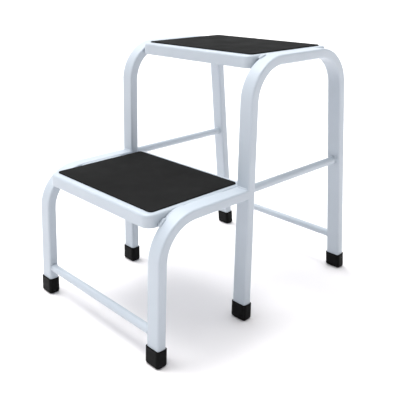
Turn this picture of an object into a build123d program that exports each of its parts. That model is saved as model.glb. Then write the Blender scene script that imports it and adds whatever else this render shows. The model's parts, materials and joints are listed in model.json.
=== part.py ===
from build123d import *
import math
import os

# Two-tread step stool, welded from bent rectangular steel tube.
# Millimetres. +Z is up, the lower step faces -Y, +X is the stool's right-hand side.
# Heights are measured from the floor. Places along Y are worked out from the rear
# legs, and the finished stool is centred over the origin at the very end.

# ---- Side frames -------------------------------------------------------------------
stool_width = 306.0          # outside to outside of the side frames
tube_width = 25.0            # frame tube, across the stool
tube_depth = 15.0            # frame tube, in the plane of the bends
tube_wall = 1.5
tube_corner = 3.0            # outer corner radius of the tube
bend_radius = 60.0           # centreline radius of every bend
lower_rail_top = 214.5
upper_rail_top = 407.5
front_to_middle = 173.0      # between leg axes, at the floor
middle_to_rear = 255.5       # between leg axes, at the floor
front_lean = 2.4             # degrees; the foot stands forward of the rail
middle_lean = 1.6
rear_lean = -4.8             # degrees; the foot stands behind the rail

# ---- Treads ------------------------------------------------------------------------
tray_depth = 192.0           # front to back
tray_gap = 1.5               # between the tray and each side frame, bridged by weld
tray_drop = 19.0             # height of the turned-down flange
tray_sheet = 1.5
tray_corner = 14.0           # corner radius in plan
tray_edge = 4.5              # outer radius between the top and the flange
tray_rise = -1.0             # top of the tray above the top of the rail
lower_tray_setback = 3.0     # tray front behind the front leg axis at the floor
upper_tray_setback = 26.0    # tray front behind the middle leg axis at the floor
mat_thickness = 1.8
mat_side_margin = 8.2
mat_end_margin = 11.2
mat_corner = 6.0
mat_edge = 0.8
stiffener_width = 26.0
stiffener_height = 11.0
stiffener_sheet = 1.5

# ---- Bars between the legs ---------------------------------------------------------
bar_diameter = 13.0
bar_wall = 1.2
front_bar_height = 46.0
rear_bar_height = 61.0
side_bar_height = 209.0

# ---- Rubber feet -------------------------------------------------------------------
ferrule_height = 26.5
ferrule_wall = 2.0
ferrule_base = 5.0           # rubber under the washer
ferrule_sole_edge = 4.0      # radius round the sole
ferrule_lip_edge = 0.6
washer_thickness = 1.2
washer_margin = 1.0          # washer edge inside the tube's outer face

# ---- Weld beads --------------------------------------------------------------------
weld_length = 26.0
rail_weld_leg = 3.0
side_bar_weld = 2.2
cross_bar_weld = 0.9
corner_weld_sweep = 12.0     # degrees round the bend
corner_weld_margin = 1.5     # degrees short of where tray and bend part
corner_weld_rise = 1.0
seam_open = 24.0             # unwelded end of the seam between tray and rail
seam_depth = 3.0

FAR = 1000.0


# ---- Worked-out places -------------------------------------------------------------
rear_y = (front_to_middle + middle_to_rear) / 2
middle_y = rear_y - middle_to_rear
front_y = middle_y - front_to_middle
frame_x = (stool_width - tube_width) / 2
inner_x = stool_width / 2 - tube_width
tray_x = inner_x - tray_gap
tray_width = 2 * tray_x


def rise(lean):
    """Sideways travel along Y for each millimetre climbed on a leg that leans by lean."""
    return math.tan(math.radians(lean))


def leg_y(foot_y, lean, height):
    """Y of a leg's axis at a height above the floor."""
    return foot_y + height * rise(lean)


def leg_end(foot_y, lean):
    """Lower end of a leg's tube, on its washer, as a point (Y, Z)."""
    along = ferrule_base + washer_thickness
    angle = math.radians(lean)
    return foot_y + along * math.sin(angle), along * math.cos(angle)


def tube_outline(inset):
    """Tube section with every side moved in by inset; its corners stay concentric."""
    width = tube_width - 2 * inset
    depth = tube_depth - 2 * inset
    radius = max(tube_corner - inset, 0.25)
    return RectangleRounded(width, depth, radius)


def swept_tube(points, inset):
    """Solid swept along a bent line through (Y, Z) points at the right-hand frame."""
    path = FilletPolyline(*[(frame_x, y, z) for y, z in points], radius=bend_radius)
    start = Plane(origin=path @ 0, x_dir=(1, 0, 0), z_dir=path % 0)
    return sweep(start * tube_outline(inset), path=path)


def tall_path():
    """Middle leg, top rail and rear leg."""
    height = upper_rail_top - tube_depth / 2
    return [
        leg_end(middle_y, middle_lean),
        (leg_y(middle_y, middle_lean, height), height),
        (leg_y(rear_y, rear_lean, height), height),
        leg_end(rear_y, rear_lean),
    ]


def low_path():
    """Front leg and lower rail, run on to the axis of the middle leg."""
    height = lower_rail_top - tube_depth / 2
    return [
        leg_end(front_y, front_lean),
        (leg_y(front_y, front_lean, height), height),
        (leg_y(middle_y, middle_lean, height), height),
    ]


def mirrored(part):
    """The same piece on the left-hand side."""
    return mirror(part, about=Plane.YZ)


# ---- Side frames: two inverted U tubes, two L tubes butted against them -------------
tall_envelope = swept_tube(tall_path(), 0)
tall_frame = tall_envelope - swept_tube(tall_path(), tube_wall)
low_frame = swept_tube(low_path(), 0) - swept_tube(low_path(), tube_wall) - tall_envelope


# ---- Treads: pressed trays, rubber mats and the channels under them -----------------
def tray():
    """Turned-down tray with its top at Z = 0 and its front edge at Y = 0."""
    middle = Pos(0, tray_depth / 2, -tray_drop)
    shell = extrude(middle * RectangleRounded(tray_width, tray_depth, tray_corner), tray_drop)
    shell = fillet(shell.faces().sort_by(Axis.Z)[-1].edges(), tray_edge)
    hollow_outline = RectangleRounded(
        tray_width - 2 * tray_sheet, tray_depth - 2 * tray_sheet, tray_corner - tray_sheet
    )
    hollow = extrude(middle * hollow_outline, tray_drop - tray_sheet)
    hollow = fillet(hollow.faces().sort_by(Axis.Z)[-1].edges(), tray_edge - tray_sheet)
    return shell - hollow


def mat():
    """Flat rubber mat lying on a tray whose top is at Z = 0 and front edge at Y = 0."""
    outline = RectangleRounded(
        tray_width - 2 * mat_side_margin, tray_depth - 2 * mat_end_margin, mat_corner
    )
    pad = extrude(Pos(0, tray_depth / 2, 0) * outline, mat_thickness)
    return fillet(pad.faces().sort_by(Axis.Z)[-1].edges(), mat_edge)


def stiffener():
    """Channel across the tray, its two walls standing up against the tray's underside."""
    length = tray_width - 2 * tray_edge
    middle = Pos(0, tray_depth / 2, -tray_sheet - stiffener_height / 2)
    inside = stiffener_width - 2 * stiffener_sheet
    channel = middle * Box(length, stiffener_width, stiffener_height)
    return channel - Pos(0, 0, stiffener_sheet) * middle * Box(length, inside, stiffener_height)


lower_tread = Pos(0, front_y + lower_tray_setback, lower_rail_top + tray_rise)
upper_tread = Pos(0, middle_y + upper_tray_setback, upper_rail_top + tray_rise)


# ---- Round bars --------------------------------------------------------------------
def cross_bar(foot_y, lean, height):
    """Tube between the inner faces of two legs."""
    lying = Pos(0, leg_y(foot_y, lean, height), height) * Rot(0, 90, 0)
    outer = Cylinder(bar_diameter / 2, 2 * inner_x)
    return lying * (outer - Cylinder(bar_diameter / 2 - bar_wall, 2 * inner_x))


def side_bar():
    """Tube between the middle leg and the rear leg on the right, its ends cut to the legs."""
    start = leg_y(middle_y, middle_lean, side_bar_height)
    end = leg_y(rear_y, rear_lean, side_bar_height)
    lying = Pos(frame_x, (start + end) / 2, side_bar_height) * Rot(90, 0, 0)
    outer = Cylinder(bar_diameter / 2, end - start)
    bore = Cylinder(bar_diameter / 2 - bar_wall, end - start)
    return lying * (outer - bore) - tall_envelope


# ---- Rubber ferrules and the steel washers moulded into them ------------------------
def on_leg(foot_y, lean, distance):
    """Plane across the right-hand leg, at a distance along its axis from the floor."""
    angle = math.radians(lean)
    up = (0, math.sin(angle), math.cos(angle))
    foot = (frame_x, foot_y + distance * up[1], distance * up[2])
    return Plane(origin=foot, x_dir=(1, 0, 0), z_dir=up)


def ferrule(foot_y, lean):
    """Cup on a leg's end with a flat sole on the floor."""
    tube_end = ferrule_base + washer_thickness
    outside = on_leg(foot_y, lean, -ferrule_base) * tube_outline(-ferrule_wall)
    cup = extrude(outside, ferrule_base + ferrule_height)
    cup = cup - Pos(0, 0, -FAR / 2) * Box(FAR, 2 * FAR, FAR)
    cup = fillet(cup.faces().sort_by(Axis.Z)[0].edges(), ferrule_sole_edge)
    cup = fillet(cup.faces().sort_by(Axis.Z)[-1].edges(), ferrule_lip_edge)
    socket = extrude(on_leg(foot_y, lean, tube_end) * tube_outline(0), ferrule_height)
    seat = extrude(on_leg(foot_y, lean, ferrule_base) * washer_outline(), washer_thickness)
    return cup - socket - seat


def washer_outline():
    """Washer, a little smaller than the tube that stands on it."""
    return tube_outline(washer_margin)


def washer(foot_y, lean):
    """Steel plate between the tube's end and the rubber."""
    return extrude(on_leg(foot_y, lean, ferrule_base) * washer_outline(), washer_thickness)


# ---- Welds -------------------------------------------------------------------------
def cross_bar_beads(foot_y, lean, height):
    """Ring of weld round each end of a cross bar."""
    radius = bar_diameter / 2
    ring = Cone(radius + cross_bar_weld, radius + 0.2, cross_bar_weld)
    ring = Pos(0, 0, cross_bar_weld / 2) * ring - Cylinder(radius, FAR)
    end = Pos(inner_x, leg_y(foot_y, lean, height), height) * Rot(0, -90, 0)
    right = end * ring
    return [right, mirrored(right)]


def side_bar_beads():
    """Ring of weld round each end of the right-hand side bar."""
    radius = bar_diameter / 2
    reach = tube_depth / 2
    collar = Cone(radius + side_bar_weld + reach, radius, side_bar_weld + reach)
    collar = Pos(0, 0, (side_bar_weld + reach) / 2) * collar - Cylinder(radius, FAR)
    beads = []
    for foot_y, lean, turn, farthest in ((middle_y, middle_lean, -90, -1), (rear_y, rear_lean, 90, 0)):
        place = Pos(frame_x, leg_y(foot_y, lean, side_bar_height), side_bar_height)
        bead = place * Rot(turn, 0, 0) * collar - tall_envelope
        beads.append(bead.solids().sort_by(Axis.Y)[farthest])
    return beads


def middle_face_y(height):
    """Y of the middle leg's front face at a height above the floor."""
    half = tube_depth / 2 / math.cos(math.radians(middle_lean))
    return leg_y(middle_y, middle_lean, height) - half


def rail_beads():
    """Beads over and under the joint between the lower rail and the middle leg."""
    beads = []
    for level, way in ((lower_rail_top, 1), (lower_rail_top - tube_depth, -1)):
        tip = level + way * rail_weld_leg
        corner = (middle_face_y(level), level)
        section = make_face(Polyline(
            (0, corner[0], corner[1]),
            (0, corner[0] - rail_weld_leg, corner[1]),
            (0, middle_face_y(tip), tip),
            (0, corner[0], corner[1]),
        ))
        length = tube_width - 2 * tube_corner
        bead = extrude(section, length / 2, dir=(1, 0, 0), both=True)
        beads.append(Pos(frame_x, 0, 0) * bead)
    return beads


def tray_beads(foot_y, lean, rail_top, rail_end_y, tray_front_y, envelope):
    """Beads that fix a tray to the right-hand rail: two under it, one on the bend, one seam."""
    bend_z = rail_top - tube_depth / 2 - bend_radius
    bend_y = leg_y(foot_y, lean, bend_z) + bend_radius / math.cos(math.radians(lean))
    under = rail_top - tube_depth
    fillet_section = make_face(Polyline(
        (tray_x, 0, under + tube_corner),
        (inner_x, 0, under + tube_corner),
        (inner_x + tube_corner, 0, under),
        (tray_x, 0, min(rail_top + tray_rise - tray_drop, under - cross_bar_weld)),
        (tray_x, 0, under + tube_corner),
    ))
    beads = []
    for share in (0.25, 0.75):
        start = bend_y + (rail_end_y - bend_y) * share - weld_length / 2
        beads.append(extrude(Pos(0, start, 0) * fillet_section, weld_length, dir=(0, 1, 0)))

    outer_radius = bend_radius + tube_depth / 2
    crest = bend_z + outer_radius
    groove_section = make_face(Polyline(
        (tray_x, bend_y, crest + corner_weld_rise),
        (inner_x + tube_corner, bend_y, crest),
        (inner_x, bend_y, crest - tube_corner),
        (tray_x, bend_y, crest - tube_corner),
        (tray_x, bend_y, crest + corner_weld_rise),
    ))
    flange_angle = math.acos(1 - (tray_drop - tray_rise) / outer_radius)
    straight_angle = math.asin((bend_y - tray_front_y - tray_corner) / outer_radius)
    last = math.degrees(min(flange_angle, straight_angle)) - corner_weld_margin
    hinge = Axis((0, bend_y, bend_z), (1, 0, 0))
    section = groove_section.rotate(hinge, last)
    beads.append(revolve(section, hinge, -corner_weld_sweep))

    seam_top = rail_top - max(tube_corner, tray_edge - tray_rise)
    seam_length = rail_end_y - seam_open - bend_y
    seam = Box(tray_gap, seam_length, seam_depth)
    beads.append(Pos(tray_x + tray_gap / 2, bend_y + seam_length / 2, seam_top - seam_depth / 2) * seam)
    return [(bead - envelope).solids().sort_by(SortBy.VOLUME)[-1] for bead in beads]


# ---- Every piece, by the name of its file -------------------------------------------
pieces = {}


def both_sides(name, part):
    """Files a right-hand piece and its mirror image."""
    pieces[name + "_right"] = part
    pieces[name + "_left"] = mirrored(part)


both_sides("tall_frame", tall_frame)
both_sides("low_frame", low_frame)
both_sides("side_bar", side_bar())
pieces["front_bar"] = cross_bar(front_y, front_lean, front_bar_height)
pieces["rear_bar"] = cross_bar(rear_y, rear_lean, rear_bar_height)

for tier, place in (("lower", lower_tread), ("upper", upper_tread)):
    pieces[tier + "_tread_tray"] = place * tray()
    pieces[tier + "_tread_mat"] = place * mat()
    pieces[tier + "_tread_stiffener"] = place * stiffener()

legs = {
    "front": (front_y, front_lean),
    "middle": (middle_y, middle_lean),
    "rear": (rear_y, rear_lean),
}
for leg, (foot_y, lean) in legs.items():
    both_sides("ferrule_" + leg, ferrule(foot_y, lean))
    both_sides("ferrule_washer_" + leg, washer(foot_y, lean))

low_envelope = swept_tube(low_path(), 0)
rear_bend_y = leg_y(rear_y, rear_lean, upper_rail_top - tube_depth / 2 - bend_radius) - bend_radius
lower_beads = tray_beads(
    front_y, front_lean, lower_rail_top, middle_face_y(lower_rail_top),
    front_y + lower_tray_setback, low_envelope,
)
upper_beads = tray_beads(
    middle_y, middle_lean, upper_rail_top, rear_bend_y,
    middle_y + upper_tray_setback, tall_envelope,
)
right_beads = {
    "lower_tray_welds": lower_beads,
    "upper_tray_welds": upper_beads,
    "rail_welds": rail_beads(),
    "side_bar_welds": side_bar_beads(),
}
for name, beads in right_beads.items():
    pieces[name] = Compound(beads + [mirrored(bead) for bead in beads])
pieces["cross_bar_welds"] = Compound(
    cross_bar_beads(front_y, front_lean, front_bar_height)
    + cross_bar_beads(rear_y, rear_lean, rear_bar_height)
)

# ---- Files, centred over the origin --------------------------------------------------
boxes = [piece.bounding_box() for piece in pieces.values()]
centre_y = (min(box.min.Y for box in boxes) + max(box.max.Y for box in boxes)) / 2
os.makedirs("parts", exist_ok=True)
for name, piece in pieces.items():
    export_step(Pos(0, -centre_y, 0) * piece, os.path.join("parts", name + ".step"))
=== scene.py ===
import json
import math

import bpy
import numpy as np
from mathutils import Matrix, Vector


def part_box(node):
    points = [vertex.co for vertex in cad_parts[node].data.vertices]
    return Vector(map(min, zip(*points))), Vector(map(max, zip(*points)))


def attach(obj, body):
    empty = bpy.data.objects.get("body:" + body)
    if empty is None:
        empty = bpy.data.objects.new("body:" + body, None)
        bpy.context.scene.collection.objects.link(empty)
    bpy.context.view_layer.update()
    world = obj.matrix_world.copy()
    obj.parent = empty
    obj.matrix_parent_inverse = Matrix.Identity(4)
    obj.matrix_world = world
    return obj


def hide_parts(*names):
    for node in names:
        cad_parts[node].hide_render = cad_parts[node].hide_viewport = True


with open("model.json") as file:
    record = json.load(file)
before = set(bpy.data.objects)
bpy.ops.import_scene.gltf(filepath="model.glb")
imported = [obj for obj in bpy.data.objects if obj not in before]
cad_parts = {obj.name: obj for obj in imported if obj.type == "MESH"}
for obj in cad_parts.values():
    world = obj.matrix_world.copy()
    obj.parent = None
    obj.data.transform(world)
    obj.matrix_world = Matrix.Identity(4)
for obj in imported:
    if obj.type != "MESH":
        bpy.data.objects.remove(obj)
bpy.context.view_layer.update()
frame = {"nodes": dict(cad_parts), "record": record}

# ---- Camera ------------------------------------------------------------------------
# Looks at the stool from its front right, a little above the upper tread.
CAMERA_TURN = math.radians(46.448)
CAMERA_RISE = math.radians(15.419)
CAMERA_ROLL = math.radians(-0.111)
CAMERA_PLACE = Vector((0.707108, -0.668083, 0.521265))
CAMERA_LENS = 54.28
CAMERA_SHIFT = -0.15
SENSOR_WIDTH = 36

back = Vector((
    math.sin(CAMERA_TURN) * math.cos(CAMERA_RISE),
    -math.cos(CAMERA_TURN) * math.cos(CAMERA_RISE),
    math.sin(CAMERA_RISE),
))
level_right = Vector((math.cos(CAMERA_TURN), math.sin(CAMERA_TURN), 0))
level_up = back.cross(level_right)
right = level_right * math.cos(CAMERA_ROLL) + level_up * math.sin(CAMERA_ROLL)
up = back.cross(right)
camera_data = bpy.data.cameras.new("camera")
camera_data.lens = CAMERA_LENS
camera_data.sensor_width = SENSOR_WIDTH
camera_data.shift_y = CAMERA_SHIFT
camera = bpy.data.objects.new("camera", camera_data)
bpy.context.collection.objects.link(camera)
camera.matrix_world = (
    Matrix.Translation(CAMERA_PLACE) @ Matrix((right, up, back)).transposed().to_4x4()
)
bpy.context.scene.camera = camera
bpy.context.scene.view_settings.view_transform = "Standard"

# ---- Floor and studio light --------------------------------------------------------
# A wide white floor, a pale backdrop all round the horizon, one broad overhead light
# that fades towards it, and a soft key light from the left.
FLOOR_HALF = 40.0
FLOOR_COLOUR = (0.93, 0.90, 0.90, 1)
FLOOR_ROUGH, FLOOR_SPECULAR = 0.9, 0.1
LIGHT_COLOUR = (0.97, 0.985, 1.0, 1)
DOME_WAY = Vector((-0.34, 0.06, 1.0)).normalized()
BACKDROP_BRIGHT = 0.85
BACKDROP_TOP = 0.25       # sine of the angle above the horizon where it starts to fade
BACKDROP_END = 0.42       # and where it has faded out
DOME_HIGH = 3.15          # brightness at the middle of the overhead light
DOME_POWER = 2.5          # power of the cosine by which it fades round that
KEY_WAY = Vector((-0.40, -0.12, 1.0))
KEY_POWER = 1.5
KEY_ANGLE = math.radians(28)

floor_mesh = bpy.data.meshes.new("floor")
floor_mesh.from_pydata(
    [(-FLOOR_HALF, -FLOOR_HALF, 0), (FLOOR_HALF, -FLOOR_HALF, 0),
     (FLOOR_HALF, FLOOR_HALF, 0), (-FLOOR_HALF, FLOOR_HALF, 0)],
    [], [(0, 1, 2, 3)],
)
floor = bpy.data.objects.new("floor", floor_mesh)
bpy.context.collection.objects.link(floor)
floor_paint = bpy.data.materials.new("floor_paint")
floor_paint.use_nodes = True
floor_shader = floor_paint.node_tree.nodes["Principled BSDF"]
floor_shader.inputs["Base Color"].default_value = FLOOR_COLOUR
floor_shader.inputs["Roughness"].default_value = FLOOR_ROUGH
floor_shader.inputs["Specular IOR Level"].default_value = FLOOR_SPECULAR
floor_mesh.materials.append(floor_paint)

studio = bpy.data.worlds.new("studio")
bpy.context.scene.world = studio
studio.use_nodes = True
studio_nodes = studio.node_tree.nodes
studio_links = studio.node_tree.links
sky_way = studio_nodes.new("ShaderNodeTexCoord")
dome = studio_nodes.new("ShaderNodeVectorMath")
dome.operation = "DOT_PRODUCT"
dome.inputs[1].default_value = DOME_WAY
above = studio_nodes.new("ShaderNodeMath")
above.operation = "MAXIMUM"
above.inputs[1].default_value = 0
fade = studio_nodes.new("ShaderNodeMath")
fade.operation = "POWER"
fade.inputs[1].default_value = DOME_POWER
height = studio_nodes.new("ShaderNodeSeparateXYZ")
backdrop = studio_nodes.new("ShaderNodeMapRange")
backdrop.interpolation_type = "SMOOTHSTEP"
backdrop.inputs["From Min"].default_value = BACKDROP_TOP
backdrop.inputs["From Max"].default_value = BACKDROP_END
backdrop.inputs["To Min"].default_value = BACKDROP_BRIGHT
backdrop.inputs["To Max"].default_value = 0
strength = studio_nodes.new("ShaderNodeMath")
strength.operation = "MULTIPLY_ADD"
strength.inputs[1].default_value = DOME_HIGH
studio_links.new(sky_way.outputs["Generated"], dome.inputs[0])
studio_links.new(sky_way.outputs["Generated"], height.inputs[0])
studio_links.new(dome.outputs["Value"], above.inputs[0])
studio_links.new(above.outputs[0], fade.inputs[0])
studio_links.new(height.outputs["Z"], backdrop.inputs["Value"])
studio_links.new(fade.outputs[0], strength.inputs[0])
studio_links.new(backdrop.outputs["Result"], strength.inputs[2])
studio_links.new(strength.outputs[0], studio_nodes["Background"].inputs["Strength"])
studio_nodes["Background"].inputs["Color"].default_value = LIGHT_COLOUR

key_data = bpy.data.lights.new("key", "SUN")
key_data.energy = KEY_POWER
key_data.angle = KEY_ANGLE
key = bpy.data.objects.new("key", key_data)
key.rotation_euler = KEY_WAY.to_track_quat("Z", "Y").to_euler()
bpy.context.collection.objects.link(key)

# ---- Tall side frames --------------------------------------------------------------
# One length of 25 x 15 mm rectangular steel tube on each side, bent twice into an
# inverted U: middle leg, upper rail, rear leg. White powder coat all over.
TUBE_HALF_WIDTH = 0.0125
TUBE_HALF_DEPTH = 0.0075
TUBE_WALL = 0.0015
TUBE_CORNER = 0.003
BEND_RADIUS = 0.060
MIDDLE_LEAN = math.radians(1.6)
REAR_LEAN = math.radians(-4.8)
TUBE_END = 0.0062         # above the floor, along the leg
FLAT_GUARD = 0.0004       # from a round corner to the point that keeps the flat flat
CORNER_STEPS = 6          # faces round each corner of the tube
BEND_STEPS = 32           # loops round each bend
TALL_RUN_STEP = 0.016     # between loops on straight runs, at most
ENAMEL_COLOUR = (0.450, 0.497, 0.549, 1)
ENAMEL_SHADE = (0.436, 0.484, 0.538, 1)
ENAMEL_ROUGH = (0.34, 0.44)
ENAMEL_SPECULAR = 0.6
TINT_CLOUD, GLOSS_CLOUD = (14, 3), (60, 4)         # cells for each metre, detail
PEEL, PEEL_RELIEF = (520, 1), (0.35, 0.00006)      # and strength, depth in metres
SPECK, SPECK_RELIEF = (1900, 2), (0.2, 0.00002)
NOISE_LOW, NOISE_HIGH = 0.3, 0.7                   # span that most of a noise lies in
CREASE = math.radians(40)                          # sharper edges stay sharp

foot_y = {
    mount["name"]: mount["pos_m"][1]
    for mount in frame["record"]["mounts"] if mount["name"].startswith("foot_")
}
front_foot = foot_y["foot_front_right"]
middle_foot = foot_y["foot_middle_right"]
rear_foot = foot_y["foot_rear_right"]
tall_low, tall_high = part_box("tall_frame_right")
frame_x = (tall_low.x + tall_high.x) / 2
inner_x = tall_low.x


def rounded_outline(half_width, half_depth, radius, steps, guard=FLAT_GUARD):
    """Closed loop of (across, deep) points round a rectangle with round corners.

    Each corner is its centre plus radius times (cos, sin) of even angles. A guard point
    on the straight beside each arc's ends keeps the flats' shading flat.
    """
    arcs = []
    for turn, across, deep in ((0, 1, 1), (90, -1, 1), (180, -1, -1), (270, 1, -1)):
        angles = np.radians(np.linspace(turn, turn + 90, steps + 1))
        ring = np.column_stack((np.cos(angles), np.sin(angles)))
        along = np.column_stack((-np.sin(angles), np.cos(angles)))
        centre = np.array((across * (half_width - radius), deep * (half_depth - radius)))
        arc = centre + radius * ring
        arcs += [arc[:1] - guard * along[:1], arc, arc[-1:] + guard * along[-1:]]
    return np.vstack(arcs)


def bent_line(corners, radius, run, bend_steps):
    """Points and headings along straight runs joined by arcs, in the (Y, Z) plane.

    With t the turn at a corner, its arc starts radius * tan(t / 2) before the corner
    and is centre + radius * (sin, -cos) of the heading, on the side it turns to.
    """
    corners = np.asarray(corners, float)
    ways = np.diff(corners, axis=0)
    lengths = np.hypot(ways[:, 0], ways[:, 1])
    headings = np.unwrap(np.arctan2(ways[:, 1], ways[:, 0]))
    turns = np.diff(headings)
    trims = np.concatenate(([0], radius * np.tan(np.abs(turns) / 2), [0]))
    points, angles = [], []
    for i, heading in enumerate(headings):
        way = ways[i] / lengths[i]
        start = corners[i] + way * trims[i]
        end = corners[i + 1] - way * trims[i + 1]
        count = max(2, math.ceil(math.dist(start, end) / run) + 1)
        points.append(np.linspace(start, end, count))
        angles.append(np.full(count, heading))
        if i < len(turns):
            side = np.sign(turns[i])
            centre = end + side * radius * np.array((-np.sin(heading), np.cos(heading)))
            arc = heading + turns[i] * np.arange(1, bend_steps) / bend_steps
            ring = np.column_stack((np.sin(arc), -np.cos(arc)))
            points.append(centre + side * radius * ring)
            angles.append(arc)
    return np.vstack(points), np.concatenate(angles)


def carried(outline, points, headings, centre_x):
    """Grid of loops: the outline standing square on each point of a line in (Y, Z).

    x = centre + across; (y, z) = point + deep * (-sin, cos) of the heading.
    """
    x = np.broadcast_to(centre_x + outline[:, 0], (len(points), len(outline)))
    y = points[:, :1] - np.sin(headings)[:, None] * outline[:, 1]
    z = points[:, 1:] + np.cos(headings)[:, None] * outline[:, 1]
    return np.stack((x, y, z), axis=-1)


def shell(grid, ends):
    """Closed surface (points, faces) from a grid whose rows are closed loops.

    Face (i, j) joins points j and j + 1 of loop i to those of loop i + 1. With ends
    "joined", the last loop meets the first; with ends "closed", the first and last
    loops are each closed by triangles round their middle.
    """
    rows, columns = grid.shape[:2]
    points = grid.reshape(-1, 3)
    index = np.arange(rows * columns).reshape(rows, columns)
    lower = index if ends == "joined" else index[:-1]
    upper = np.roll(index, -1, axis=0) if ends == "joined" else index[1:]
    quads = np.stack(
        (lower, np.roll(lower, -1, axis=1), np.roll(upper, -1, axis=1), upper), axis=-1
    ).reshape(-1, 4)
    faces = quads.tolist()
    if ends == "closed":
        points = np.vstack((points, grid[0].mean(axis=0), grid[-1].mean(axis=0)))
        first, last = index[0], index[-1]
        middle = np.full(columns, rows * columns)
        faces += np.column_stack((np.roll(first, -1), first, middle)).tolist()
        faces += np.column_stack((last, np.roll(last, -1), middle + 1)).tolist()
    return points, faces


def enclosed(points, faces):
    """Volume inside faces: a sixth of the sum of a . (b x c) over their triangles."""
    triangles = np.array(
        [(face[0], face[k], face[k + 1]) for face in faces for k in range(1, len(face) - 1)]
    )
    a, b, c = points[triangles].transpose(1, 0, 2)
    return np.einsum("ij,ij->", a, np.cross(b, c)) / 6


def make_piece(name, shells, finish, slot, *nodes):
    """Makes one piece from closed shells, faces outward, and stands it for CAD nodes."""
    all_points, all_faces, count = [], [], 0
    for points, faces in shells:
        if enclosed(points, faces) < 0:
            faces = [face[::-1] for face in faces]
        all_points.append(points)
        all_faces += [[count + corner for corner in face] for face in faces]
        count += len(points)
    mesh = bpy.data.meshes.new(name)
    mesh.from_pydata(np.vstack(all_points).tolist(), [], all_faces)
    mesh.polygons.foreach_set("use_smooth", np.ones(len(mesh.polygons), bool))
    mesh.set_sharp_from_angle(angle=CREASE)
    mesh.materials.append(finish)
    piece = bpy.data.objects.new(name, mesh)
    bpy.context.collection.objects.link(piece)
    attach(piece, "root")
    if nodes:
        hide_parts(*nodes)
    return piece


def mirrored(grid):
    """The same grid on the left-hand side: x changes its sign."""
    return grid * (-1, 1, 1)


def leg_axis(foot, lean, height):
    """Y of a leg's axis: its foot's y plus height times the tangent of its lean."""
    return foot + height * math.tan(lean)


def leg_end(foot, lean):
    """Point (Y, Z) where a leg's tube ends, a distance up its axis from the floor."""
    return foot + TUBE_END * math.sin(lean), TUBE_END * math.cos(lean)


def tube_walls(points, headings):
    """Grid of a hollow tube: loops of the outer face going out, of the bore coming back."""
    outer = rounded_outline(TUBE_HALF_WIDTH, TUBE_HALF_DEPTH, TUBE_CORNER, CORNER_STEPS)
    inner = rounded_outline(
        TUBE_HALF_WIDTH - TUBE_WALL, TUBE_HALF_DEPTH - TUBE_WALL, TUBE_CORNER - TUBE_WALL,
        CORNER_STEPS,
    )
    return np.concatenate((
        carried(outer, points, headings, frame_x),
        carried(inner, points, headings, frame_x)[::-1],
    ))


def noise(nodes, links, coordinates, scale, detail):
    """Noise texture on the given coordinates; scale is in cells for each metre."""
    node = nodes.new("ShaderNodeTexNoise")
    node.inputs["Scale"].default_value = scale
    node.inputs["Detail"].default_value = detail
    links.new(coordinates, node.inputs["Vector"])
    return node.outputs["Fac"]


def spread(nodes, links, value, low, high):
    """Stretches the middle of a noise over a span of numbers."""
    node = nodes.new("ShaderNodeMapRange")
    node.inputs["From Min"].default_value = NOISE_LOW
    node.inputs["From Max"].default_value = NOISE_HIGH
    node.inputs["To Min"].default_value = low
    node.inputs["To Max"].default_value = high
    links.new(value, node.inputs["Value"])
    return node.outputs["Result"]


def blended(nodes, links, value, first, second):
    """Colour between two colours by a value from 0 to 1."""
    node = nodes.new("ShaderNodeMix")
    node.data_type = "RGBA"
    node.inputs["A"].default_value = first
    node.inputs["B"].default_value = second
    links.new(value, node.inputs["Factor"])
    return node.outputs["Result"]


def bumped(nodes, links, height, strength, depth, below=None):
    """Bump from a height value; depth is the relief in metres."""
    node = nodes.new("ShaderNodeBump")
    node.inputs["Strength"].default_value = strength
    node.inputs["Distance"].default_value = depth
    links.new(height, node.inputs["Height"])
    if below is not None:
        links.new(below, node.inputs["Normal"])
    return node.outputs["Normal"]


def new_finish(name):
    """Empty node material: the material, its nodes, its links, its shader, coordinates."""
    material = bpy.data.materials.new(name)
    material.use_nodes = True
    nodes, links = material.node_tree.nodes, material.node_tree.links
    place = nodes.new("ShaderNodeTexCoord").outputs["Object"]
    return material, nodes, links, nodes["Principled BSDF"], place


def powder_coat():
    """White baked powder: fine orange peel, slight unevenness of tint and gloss."""
    material, nodes, links, shader, place = new_finish("white_powder_coat")
    cloud = spread(nodes, links, noise(nodes, links, place, *TINT_CLOUD), 0, 1)
    tint = blended(nodes, links, cloud, ENAMEL_COLOUR, ENAMEL_SHADE)
    links.new(tint, shader.inputs["Base Color"])
    gloss = spread(nodes, links, noise(nodes, links, place, *GLOSS_CLOUD), *ENAMEL_ROUGH)
    links.new(gloss, shader.inputs["Roughness"])
    peel = bumped(nodes, links, noise(nodes, links, place, *PEEL), *PEEL_RELIEF)
    speck = noise(nodes, links, place, *SPECK)
    speck = bumped(nodes, links, speck, *SPECK_RELIEF, peel)
    links.new(speck, shader.inputs["Normal"])
    shader.inputs["Specular IOR Level"].default_value = ENAMEL_SPECULAR
    return material


enamel = powder_coat()
tall_height = tall_high.z - TUBE_HALF_DEPTH
tall_line = bent_line(
    [
        leg_end(middle_foot, MIDDLE_LEAN),
        (leg_axis(middle_foot, MIDDLE_LEAN, tall_height), tall_height),
        (leg_axis(rear_foot, REAR_LEAN, tall_height), tall_height),
        leg_end(rear_foot, REAR_LEAN),
    ],
    BEND_RADIUS, TALL_RUN_STEP, BEND_STEPS,
)
tall_tube = tube_walls(*tall_line)
make_piece("tall_side_tube_right", [shell(tall_tube, "joined")],
           enamel, "white_enamel", "tall_frame_right")
make_piece("tall_side_tube_left", [shell(mirrored(tall_tube), "joined")],
           enamel, "white_enamel", "tall_frame_left")

# ---- Low side frames ---------------------------------------------------------------
# The same tube bent once on each side: front leg and lower rail. The rail's end is cut
# to the middle leg's front face and corners and welded on.
FRONT_LEAN = math.radians(2.4)
LOW_RUN_STEP = 0.012

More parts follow.
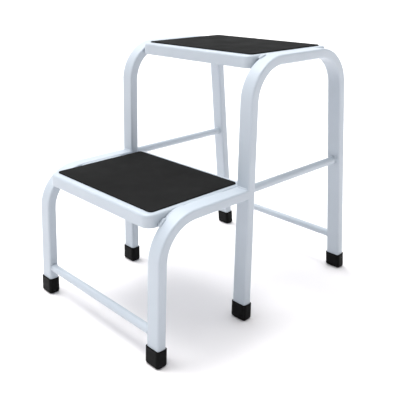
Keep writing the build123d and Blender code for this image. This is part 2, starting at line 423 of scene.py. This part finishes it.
low_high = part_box("low_frame_right")[1]
low_height = low_high.z - TUBE_HALF_DEPTH
low_line = bent_line(
    [
        leg_end(front_foot, FRONT_LEAN),
        (leg_axis(front_foot, FRONT_LEAN, low_height), low_height),
        (leg_axis(middle_foot, MIDDLE_LEAN, low_height) - 2 * TUBE_HALF_DEPTH, low_height),
    ],
    BEND_RADIUS, LOW_RUN_STEP, BEND_STEPS,
)


def middle_leg_face(across, height):
    """Y of the middle leg's front face at a place across it and a height.

    The axis less the tube's half depth, which over a round corner shrinks to
    half depth - radius + sqrt(radius^2 - how far round the corner ^2).
    """
    round_corner = np.maximum(np.abs(across) - (TUBE_HALF_WIDTH - TUBE_CORNER), 0)
    corner_depth = np.sqrt(np.maximum(TUBE_CORNER**2 - round_corner**2, 0))
    depth = TUBE_HALF_DEPTH - TUBE_CORNER + corner_depth
    return leg_axis(middle_foot, MIDDLE_LEAN, height) - depth / math.cos(MIDDLE_LEAN)


def coped(grid, loop):
    """Slides one loop of a grid along Y onto the middle leg's front face."""
    grid[loop, :, 1] = middle_leg_face(grid[loop, :, 0] - frame_x, grid[loop, :, 2])


low_tube = tube_walls(*low_line)
rail_end = len(low_line[0]) - 1
coped(low_tube, rail_end)
coped(low_tube, rail_end + 1)
make_piece("low_side_tube_right", [shell(low_tube, "joined")],
           enamel, "white_enamel", "low_frame_right")
make_piece("low_side_tube_left", [shell(mirrored(low_tube), "joined")],
           enamel, "white_enamel", "low_frame_left")

# ---- Round bars --------------------------------------------------------------------
# 13 mm round steel tubes that tie the legs: one between the front feet, one between the
# rear feet, and one on each side between middle and rear leg. Ends cut to the legs.
BAR_WALL = 0.0012
BAR_STEPS = 40
CROSS_BAR_LOOPS = 17
SIDE_BAR_LOOPS = 15

front_bar_low, front_bar_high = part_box("front_bar")
rear_bar_low, rear_bar_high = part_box("rear_bar")
side_bar_low, side_bar_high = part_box("side_bar_right")
bar_radius = (front_bar_high.z - front_bar_low.z) / 2
side_bar_z = (side_bar_low.z + side_bar_high.z) / 2


def circle(radius):
    """Closed loop of (across, up) points: radius times (cos, sin) of even angles."""
    angles = np.linspace(0, 2 * np.pi, BAR_STEPS, endpoint=False)
    return radius * np.column_stack((np.cos(angles), np.sin(angles)))


def cross_bar(low, high):
    """Hollow round tube along X: circles at each station out, bore circles back."""
    y, z = (low.y + high.y) / 2, (low.z + high.z) / 2
    stations = np.linspace(low.x, high.x, CROSS_BAR_LOOPS)
    loops = []
    for radius, places in ((bar_radius, stations), (bar_radius - BAR_WALL, stations[::-1])):
        ring = circle(radius)
        grid = np.empty((len(places), BAR_STEPS, 3))
        grid[..., 0] = places[:, None]
        grid[..., 1] = y + ring[:, 0]
        grid[..., 2] = z + ring[:, 1]
        loops.append(grid)
    return np.concatenate(loops)


def leg_face(foot, lean, way, height):
    """Y of a leg's flat face that looks along way: axis + way * half depth / cos(lean)."""
    return leg_axis(foot, lean, height) + way * TUBE_HALF_DEPTH / math.cos(lean)


def side_bar():
    """Hollow round tube along Y, each station a share of the way between two leg faces."""
    shares = np.linspace(0, 1, SIDE_BAR_LOOPS)[:, None]
    loops = []
    for radius, places in ((bar_radius, shares), (bar_radius - BAR_WALL, shares[::-1])):
        ring = circle(radius)
        height = side_bar_z + ring[:, 1]
        start = leg_face(middle_foot, MIDDLE_LEAN, 1, height)
        end = leg_face(rear_foot, REAR_LEAN, -1, height)
        grid = np.empty((len(places), BAR_STEPS, 3))
        grid[..., 0] = frame_x + ring[:, 0]
        grid[..., 1] = start + (end - start) * places
        grid[..., 2] = height
        loops.append(grid)
    return np.concatenate(loops)


make_piece("front_cross_bar", [shell(cross_bar(front_bar_low, front_bar_high), "joined")],
           enamel, "white_enamel", "front_bar")
make_piece("rear_cross_bar", [shell(cross_bar(rear_bar_low, rear_bar_high), "joined")],
           enamel, "white_enamel", "rear_bar")
side_tube = side_bar()
make_piece("side_bar_tube_right", [shell(side_tube, "joined")],
           enamel, "white_enamel", "side_bar_right")
make_piece("side_bar_tube_left", [shell(mirrored(side_tube), "joined")],
           enamel, "white_enamel", "side_bar_left")

# ---- Tread trays -------------------------------------------------------------------
# Each tread is 1.5 mm steel sheet pressed into a shallow upside-down tray: flat top,
# round edge, 19 mm flange, round corners. Welded between the side frames, with a
# narrow seam open beside them at the back.
TRAY_SHEET = 0.0015
TRAY_CORNER = 0.014
TRAY_EDGE = 0.0045
RIM_ROUND = 0.0004        # worn-off corners of the sheet's cut edge
FLAT_INSET = 0.034        # where the flat middle starts
TRAY_GUARD = 0.0006       # from a round edge to the loop that keeps the flat beside it flat
RIM_GUARD = 0.0004
LEAST_CORNER = 0.001
EDGE_LOOPS, BORE_LOOPS, RIM_LOOPS = 10, 6, 3
TRAY_CORNER_STEPS = 16

trays = {tier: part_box(tier + "_tread_tray") for tier in ("lower", "upper")}


def plate_loops(low, high, profile, corner, steps):
    """Grid of loops round a plate: one rounded outline for each (inset, height) point.

    The outline's half sizes and corner radius all shrink by the inset.
    """
    centre_x, centre_y = (low.x + high.x) / 2, (low.y + high.y) / 2
    loops = []
    for inset, height in profile:
        outline = rounded_outline(
            (high.x - low.x) / 2 - inset, (high.y - low.y) / 2 - inset,
            max(corner - inset, LEAST_CORNER), steps,
        )
        loops.append(np.column_stack((
            centre_x + outline[:, 0], centre_y + outline[:, 1], np.full(len(outline), height),
        )))
    return np.array(loops)


def quarter(inset, height, radius, start, end, steps):
    """Arc of (inset, height) points round a centre, angle 0 outward and 90 upward."""
    angles = np.radians(np.linspace(start, end, steps + 1))
    return list(zip(inset - radius * np.cos(angles), height + radius * np.sin(angles)))


def tray_profile(low, high):
    """Section of the pressed sheet from the top's middle, round the flange, to below it."""
    top, rim = high.z, low.z
    bore = TRAY_EDGE - TRAY_SHEET
    outer = [(FLAT_INSET, top), (TRAY_EDGE + TRAY_GUARD, top)]
    outer += quarter(TRAY_EDGE, top - TRAY_EDGE, TRAY_EDGE, 90, 0, EDGE_LOOPS)
    outer += [(0, top - TRAY_EDGE - TRAY_GUARD), (0, rim + RIM_ROUND + RIM_GUARD)]
    edge = quarter(RIM_ROUND, rim + RIM_ROUND, RIM_ROUND, 0, -90, RIM_LOOPS)
    edge += quarter(TRAY_SHEET - RIM_ROUND, rim + RIM_ROUND, RIM_ROUND, -90, -180, RIM_LOOPS)
    inner = [(TRAY_SHEET, rim + RIM_ROUND + RIM_GUARD), (TRAY_SHEET, top - TRAY_EDGE - TRAY_GUARD)]
    inner += quarter(TRAY_EDGE, top - TRAY_EDGE, bore, 0, 90, BORE_LOOPS)
    inner += [(TRAY_EDGE + TRAY_GUARD, top - TRAY_SHEET), (FLAT_INSET, top - TRAY_SHEET)]
    return outer + edge + inner


for tier, (low, high) in trays.items():
    loops = plate_loops(low, high, tray_profile(low, high), TRAY_CORNER, TRAY_CORNER_STEPS)
    make_piece(tier + "_tread_pressing", [shell(loops, "closed")], enamel, "white_enamel",
               tier + "_tread_tray")

# ---- Stiffeners --------------------------------------------------------------------
# A channel folded from 1.5 mm sheet lies under each tray from side to side, open side
# up, and is spot welded to it.
STIFFENER_SHEET = 0.0015
STIFFENER_FOLD = 0.00225  # middle of the sheet round each fold
FOLD_LOOPS = 8
STIFFENER_LOOP_STEP = 0.006
CUT_ROUND = 0.0003        # rounding of the sheet's cut edges
CUT_STEPS = 3

for tier in ("lower", "upper"):
    low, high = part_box(tier + "_tread_stiffener")
    half = STIFFENER_SHEET / 2
    fold_line = bent_line(
        [(low.y + half, high.z), (low.y + half, low.z + half),
         (high.y - half, low.z + half), (high.y - half, high.z)],
        STIFFENER_FOLD, STIFFENER_LOOP_STEP, FOLD_LOOPS,
    )
    edge = rounded_outline((high.x - low.x) / 2, half, CUT_ROUND, CUT_STEPS, CUT_ROUND)
    channel = carried(edge, *fold_line, (low.x + high.x) / 2)
    make_piece(tier + "_channel", [shell(channel, "closed")], enamel, "white_enamel",
               tier + "_tread_stiffener")

# ---- Tread mats --------------------------------------------------------------------
# A black rubber sheet with a fine pebbled face is glued on each tray, short of its edge
# all round so that a white rim shows.
MAT_CORNER = 0.006
MAT_EDGE = 0.0008
MAT_CUT = 0.0002          # height of the bevel under the cut edge, a third of its width
MAT_EDGE_LOOPS = 6
MAT_CORNER_STEPS = 12
RUBBER_COLOUR = (0.0125, 0.0125, 0.0125, 1)
RUBBER_WORN = (0.0165, 0.0165, 0.0165, 1)
RUBBER_ROUGH = (0.60, 0.72)
RUBBER_SPECULAR = 0.008
BLOOM_CLOUD, SHEEN_CLOUD = (11, 4), (30, 3)
PEBBLE_CELLS, PEBBLE_RELIEF = 620, (0.6, 0.00025)
GRAIN, GRAIN_RELIEF = (2400, 2), (0.3, 0.00005)


def mat_rubber():
    """Matte black sheet rubber: pebble grain, faint cloudy bloom, uneven sheen."""
    material, nodes, links, shader, place = new_finish("mat_rubber")
    bloom = spread(nodes, links, noise(nodes, links, place, *BLOOM_CLOUD), 0, 1)
    links.new(blended(nodes, links, bloom, RUBBER_COLOUR, RUBBER_WORN), shader.inputs["Base Color"])
    sheen = spread(nodes, links, noise(nodes, links, place, *SHEEN_CLOUD), *RUBBER_ROUGH)
    links.new(sheen, shader.inputs["Roughness"])
    pebbles = nodes.new("ShaderNodeTexVoronoi")
    pebbles.feature = "SMOOTH_F1"
    pebbles.inputs["Scale"].default_value = PEBBLE_CELLS
    links.new(place, pebbles.inputs["Vector"])
    pebbled = bumped(nodes, links, pebbles.outputs["Distance"], *PEBBLE_RELIEF)
    grain = noise(nodes, links, place, *GRAIN)
    grain = bumped(nodes, links, grain, *GRAIN_RELIEF, pebbled)
    links.new(grain, shader.inputs["Normal"])
    shader.inputs["Specular IOR Level"].default_value = RUBBER_SPECULAR
    return material


sheet_rubber = mat_rubber()
for tier in ("lower", "upper"):
    low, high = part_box(tier + "_tread_mat")
    profile = [(FLAT_INSET, low.z), (3 * MAT_CUT, low.z)]
    profile += [(0, low.z + MAT_CUT), (0, high.z - MAT_EDGE)]
    profile += quarter(MAT_EDGE, high.z - MAT_EDGE, MAT_EDGE, 0, 90, MAT_EDGE_LOOPS)[1:]
    profile += [(MAT_EDGE + TRAY_GUARD, high.z), (FLAT_INSET, high.z)]
    loops = plate_loops(low, high, profile, MAT_CORNER, MAT_CORNER_STEPS)
    make_piece(tier + "_mat", [shell(loops, "closed")], sheet_rubber, "mat_rubber",
               tier + "_tread_mat")

# ---- Washers in the feet -----------------------------------------------------------
# A small zinc-plated steel plate sits in the bottom of each rubber foot, so that the
# thin end of the tube doesn't cut through the rubber.
ZINC_COLOUR = (0.60, 0.62, 0.65, 1)
ZINC_DULL = (0.45, 0.47, 0.50, 1)
ZINC_ROUGH = (0.28, 0.50)
PATCH_CLOUD, DULL_CLOUD = (180, 3), (420, 3)
SCRATCH, SCRATCH_RELIEF = (1500, 3), (0.3, 0.00003)


def zinc_plate():
    """Zinc plating: metal with cloudy dull patches and fine scratches."""
    material, nodes, links, shader, place = new_finish("zinc_plate")
    patches = spread(nodes, links, noise(nodes, links, place, *PATCH_CLOUD), 0, 1)
    links.new(blended(nodes, links, patches, ZINC_COLOUR, ZINC_DULL), shader.inputs["Base Color"])
    cloud = spread(nodes, links, noise(nodes, links, place, *DULL_CLOUD), *ZINC_ROUGH)
    links.new(cloud, shader.inputs["Roughness"])
    scratches = noise(nodes, links, place, *SCRATCH)
    links.new(bumped(nodes, links, scratches, *SCRATCH_RELIEF), shader.inputs["Normal"])
    shader.inputs["Metallic"].default_value = 1
    return material


zinc = zinc_plate()
for name, node in frame["nodes"].items():
    if name.startswith("ferrule_washer_"):
        for material_slot in node.material_slots:
            material_slot.material = zinc

# ---- Rubber feet -------------------------------------------------------------------
# A moulded black rubber cup is pushed over each leg's end. Its sole is flat on the
# floor, with a well rounded edge, while its lip is square to the leaning leg.
FOOT_WALL = 0.002
FOOT_HEIGHT = 0.0265      # floor to lip, along the leg
FOOT_SEAT = 0.005         # floor to washer, along the leg
SOLE_ROUND = 0.004
LIP_ROUND = 0.0006
WASHER_MARGIN = 0.001
FOOT_COLOUR = (0.0018, 0.0018, 0.0018, 1)
FOOT_BLOOM = (0.0030, 0.0030, 0.0030, 1)
FOOT_ROUGH = (0.42, 0.56)
FOOT_SPECULAR = 0.07
FOOT_CLOUD, SATIN_CLOUD = (70, 4), (160, 3)
SKIN, SKIN_RELIEF = (1600, 2), (0.3, 0.00004)
SOLE_FLAT = 0.0115        # inset of the sole's innermost loop
SOLE_GUARD = 0.0008
LIP_GUARD = 0.0004
LOOP_CORNER = 0.0012      # least corner radius of any loop
CUP_CORNER_STEPS = 8
SOLE_LOOPS, LIP_LOOPS = 9, 5
WALL_LOOPS = ((0, 0.009, 0.4), (0, 0.017, 0.8))    # inset, height, how square


def foot_rubber():
    """Moulded black rubber: satin skin, faint bloom, very fine mould texture."""
    material, nodes, links, shader, place = new_finish("foot_rubber")
    bloom = spread(nodes, links, noise(nodes, links, place, *FOOT_CLOUD), 0, 1)
    links.new(blended(nodes, links, bloom, FOOT_COLOUR, FOOT_BLOOM), shader.inputs["Base Color"])
    satin = spread(nodes, links, noise(nodes, links, place, *SATIN_CLOUD), *FOOT_ROUGH)
    links.new(satin, shader.inputs["Roughness"])
    skin = noise(nodes, links, place, *SKIN)
    links.new(bumped(nodes, links, skin, *SKIN_RELIEF), shader.inputs["Normal"])
    shader.inputs["Specular IOR Level"].default_value = FOOT_SPECULAR
    return material


def foot_cup(foot, lean):
    """Grid of a cup's loops from the sole's middle, over the lip, to the seat's middle.

    A loop point is foot + t * up the leg + deep * square to the leg. Each row gives an
    inset, a height and how square it is: 0 where all points share one height above the
    floor, as on the sole, and 1 where all share one t, as at the lip.
    """
    rows = [(SOLE_FLAT, 0.0, 0), (SOLE_ROUND + SOLE_GUARD, 0.0, 0)]
    rows += [
        (SOLE_ROUND * (1 - math.sin(a)), SOLE_ROUND * (1 - math.cos(a)), 0)
        for a in np.radians(np.linspace(0, 90, SOLE_LOOPS))
    ]
    rows += [(0, SOLE_ROUND + SOLE_GUARD, 0), *WALL_LOOPS]
    rows += [(0, FOOT_HEIGHT - LIP_ROUND - LIP_GUARD, 1)]
    rows += [
        (LIP_ROUND * (1 - math.cos(a)), FOOT_HEIGHT - LIP_ROUND * (1 - math.sin(a)), 1)
        for a in np.radians(np.linspace(0, 90, LIP_LOOPS))
    ]
    rows += [(FOOT_WALL, FOOT_HEIGHT, 1), (FOOT_WALL, TUBE_END, 1)]
    rows += [(FOOT_WALL + WASHER_MARGIN, t, 1) for t in (TUBE_END, FOOT_SEAT)]
    loops = []
    for inset, level, square in rows:
        outline = rounded_outline(
            TUBE_HALF_WIDTH + FOOT_WALL - inset,
            TUBE_HALF_DEPTH + FOOT_WALL - min(inset, TUBE_HALF_DEPTH),
            max(TUBE_CORNER + FOOT_WALL - inset, LOOP_CORNER), CUP_CORNER_STEPS,
        )
        across, deep = outline[:, 0], outline[:, 1]
        level_t = (level + deep * math.sin(lean)) / math.cos(lean)
        t = (1 - square) * level_t + square * level
        loops.append(np.column_stack((
            frame_x + across,
            foot + t * math.sin(lean) + deep * math.cos(lean),
            t * math.cos(lean) - deep * math.sin(lean),
        )))
    return np.array(loops)


cup_rubber = foot_rubber()
legs = {
    "front": (front_foot, FRONT_LEAN),
    "middle": (middle_foot, MIDDLE_LEAN),
    "rear": (rear_foot, REAR_LEAN),
}
for leg, (foot, lean) in legs.items():
    cup = foot_cup(foot, lean)
    for side, grid in (("right", cup), ("left", mirrored(cup))):
        make_piece(f"foot_cup_{leg}_{side}", [shell(grid, "closed")], cup_rubber, "foot_rubber",
                   f"ferrule_{leg}_{side}")

# ---- Weld beads --------------------------------------------------------------------
# Hand-laid welds, made before the stool was painted: rippled beads between trays and
# rails, on the rails' butted ends, and a ring round each end of every bar.
RIPPLE_PITCH = 0.0013
RIPPLE_DEPTH = 0.14
RIPPLE_LOOPS = 6          # loops to a ripple
BEAD_STEPS = 14
LEAST_LOOPS, LEAST_RIPPLES = 24, 3
END_FALL, END_LEAST = 6, 0.02
JOINT_OUT = 0.0004        # bead's line out from the corner it fills
JOINT_BEAD = (0.0018, 0.0011)              # half width, height
SIDE_RING_OUT, SIDE_RING = 0.0003, 0.0013  # out from the bar, radius of the bead
CROSS_RING_OUT, CROSS_RING = 0.0002, 0.0008


def bead(line, side, lift, half_width, height, closed=False):
    """Grid of a rippled bead on a line of points.

    Each loop is point + half_width * cos * side + height * sin * lift. Its size is
    1 - depth * (1 - |sin(pi * distance / pitch)|), and at free ends also falls off as
    the square root of 1 - |2 * share - 1| ^ fall, but not to nothing.
    """
    steps = np.linalg.norm(np.diff(line, axis=0), axis=1)
    distance = np.concatenate(([0], np.cumsum(steps)))
    total = distance[-1] + (steps[-1] if closed else 0)
    ripples = max(LEAST_RIPPLES, round(total / RIPPLE_PITCH))
    size = 1 - RIPPLE_DEPTH * (1 - np.abs(np.sin(np.pi * ripples * distance / total)))
    if not closed:
        share = distance / total
        size = size * np.sqrt(np.maximum(1 - np.abs(2 * share - 1) ** END_FALL, END_LEAST))
    angles = np.linspace(0, 2 * np.pi, BEAD_STEPS, endpoint=False)
    swing = (size[:, None] * half_width * np.cos(angles))[..., None] * side[:, None, :]
    rise = (size[:, None] * height * np.sin(angles))[..., None] * lift[:, None, :]
    return line[:, None, :] + swing + rise


def straight_bead(start, end, side, lift, half_width, height):
    """Bead between two points."""
    count = max(LEAST_LOOPS, round(RIPPLE_LOOPS * math.dist(start, end) / RIPPLE_PITCH))
    line = np.linspace(start, end, count)
    return bead(line, np.tile(side, (count, 1)), np.tile(lift, (count, 1)), half_width, height)


def ring_bead(centre, normal, first, radius, section):
    """Closed bead: centre + radius * (cos * first + sin * second), standing on a face."""
    normal, first = np.array(normal, float), np.array(first, float)
    second = np.cross(normal, first)
    count = round(RIPPLE_LOOPS * 2 * np.pi * radius / RIPPLE_PITCH)
    angles = np.linspace(0, 2 * np.pi, count, endpoint=False)[:, None]
    out = np.cos(angles) * first + np.sin(angles) * second
    line, lift = np.array(centre) + radius * out, np.tile(normal, (count, 1))
    return bead(line, out, lift, section, section, closed=True)


def on_both_sides(grids, ends):
    """Shells of right-hand grids and their mirror images."""
    return [shell(each, ends) for grid in grids for each in (grid, mirrored(grid))]


slant = math.sqrt(0.5)

# The rail's butt joint, above and below.
rail_half = TUBE_HALF_WIDTH - TUBE_CORNER
joint_beads = []
for level, way in ((low_high.z, 1), (low_high.z - 2 * TUBE_HALF_DEPTH, -1)):
    y = float(middle_leg_face(0, level))
    joint_beads.append(straight_bead(
        (frame_x - rail_half, y - JOINT_OUT, level + way * JOINT_OUT),
        (frame_x + rail_half, y - JOINT_OUT, level + way * JOINT_OUT),
        (0, slant, way * slant), (0, -slant, way * slant), *JOINT_BEAD,
    ))
make_piece("rail_joint_beads", on_both_sides(joint_beads, "closed"),
           enamel, "white_enamel", "rail_welds")

# Rings round the side bars' ends, on the legs' faces.
side_rings = []
for foot, lean, way in ((middle_foot, MIDDLE_LEAN, 1), (rear_foot, REAR_LEAN, -1)):
    y = leg_face(foot, lean, way, side_bar_z)
    normal = (0, way * math.cos(lean), -way * math.sin(lean))
    side_rings.append(ring_bead(
        (frame_x, y, side_bar_z), normal, (1, 0, 0), bar_radius + SIDE_RING_OUT, SIDE_RING,
    ))
make_piece("side_bar_beads", on_both_sides(side_rings, "joined"),
           enamel, "white_enamel", "side_bar_welds")

# Rings round the cross bars' ends, on the legs' inner faces.
cross_rings = []
for low, high in ((front_bar_low, front_bar_high), (rear_bar_low, rear_bar_high)):
    centre = (inner_x, (low.y + high.y) / 2, (low.z + high.z) / 2)
    cross_rings.append(ring_bead(
        centre, (-1, 0, 0), (0, 1, 0), bar_radius + CROSS_RING_OUT, CROSS_RING,
    ))
make_piece("cross_bar_beads", on_both_sides(cross_rings, "joined"),
           enamel, "white_enamel", "cross_bar_welds")

# Trays to rails: two beads under each rail, a lump on each front bend, and a smooth
# seam that fills the gap round the bend and beside the rail, short of the rail's end.
UNDER_PLACES = (0.25, 0.75)                # shares of the rail's straight length
UNDER_LENGTH, UNDER_OUT = 0.026, 0.0002
UNDER_BEAD = (0.0026, 0.0018)
LUMP_SWEEP = math.radians(12)
LUMP_SHORT = math.radians(1.5)             # short of the flange's end
LUMP_IN, LUMP_SUNK = 0.0018, 0.0002        # into the frame, under the bend's face
LUMP_LOOPS = 60
LUMP_BEAD = (0.0040, 0.0026)
SEAM_OPEN = 0.024
SEAM_SUNK = 0.0030        # the seam's line below the rail's top
SEAM_BEAD = (0.0030, 0.0022)
CURVE_LOOPS = 120
CURVE_BEAD = (0.0030, 0.0018)
CURVE_IN, CURVE_SUNK = 0.0006, 0.0014
CURVE_OVERLAP = 0.03      # angle shared by the lump and the seam round the bend
SEAM_OVERLAP = 0.001


def bend_bead(x, centre, radius, start, end, count, size):
    """Bead round a bend: centre + radius * (-sin, cos) of the angle, in (Y, Z) at x."""
    angles = np.linspace(start, end, count)[:, None]
    out = np.hstack((np.zeros_like(angles), -np.sin(angles), np.cos(angles)))
    line = np.array((x, *centre)) + radius * out
    return bead(line, np.tile((1.0, 0, 0), (count, 1)), out, *size)


rail_lines = {
    "lower": (front_foot, FRONT_LEAN, low_high.z, float(middle_leg_face(0, low_high.z))),
    "upper": (
        middle_foot, MIDDLE_LEAN, tall_high.z,
        leg_axis(rear_foot, REAR_LEAN, tall_height - BEND_RADIUS) - BEND_RADIUS,
    ),
}
outer_bend = BEND_RADIUS + TUBE_HALF_DEPTH
for tier, (foot, lean, rail_top, rail_end_y) in rail_lines.items():
    low, high = trays[tier]
    gap_x = (high.x + inner_x) / 2
    bend_z = rail_top - TUBE_HALF_DEPTH - BEND_RADIUS
    bend_y = leg_axis(foot, lean, bend_z) + BEND_RADIUS / math.cos(lean)
    under = rail_top - 2 * TUBE_HALF_DEPTH
    grids = []
    for share in UNDER_PLACES:
        y = bend_y + (rail_end_y - bend_y) * share
        grids.append(straight_bead(
            (gap_x + UNDER_OUT, y - UNDER_LENGTH / 2, under + UNDER_OUT),
            (gap_x + UNDER_OUT, y + UNDER_LENGTH / 2, under + UNDER_OUT),
            (slant, 0, slant), (slant, 0, -slant), *UNDER_BEAD,
        ))
    # The lump starts where the flange's bottom or the tray's round corner ends.
    flange_angle = math.acos(1 - (rail_top - low.z) / outer_bend)
    corner_angle = math.asin((bend_y - low.y - TRAY_CORNER) / outer_bend)
    start = min(flange_angle, corner_angle) - LUMP_SHORT
    end = start - LUMP_SWEEP
    centre = (bend_y, bend_z)
    grids.append(bend_bead(
        gap_x + LUMP_IN, centre, outer_bend - LUMP_SUNK, start, end, LUMP_LOOPS, LUMP_BEAD,
    ))
    grids.append(straight_bead(
        (gap_x, bend_y - SEAM_OVERLAP, rail_top - SEAM_SUNK),
        (gap_x, rail_end_y - SEAM_OPEN, rail_top - SEAM_SUNK),
        (1, 0, 0), (0, 0, 1), *SEAM_BEAD,
    ))
    grids.append(bend_bead(
        inner_x + CURVE_IN, centre, outer_bend - CURVE_SUNK,
        end + CURVE_OVERLAP, 0, CURVE_LOOPS, CURVE_BEAD,
    ))
    make_piece(tier + "_tray_beads", on_both_sides(grids, "closed"), enamel, "white_enamel",
               tier + "_tray_welds")
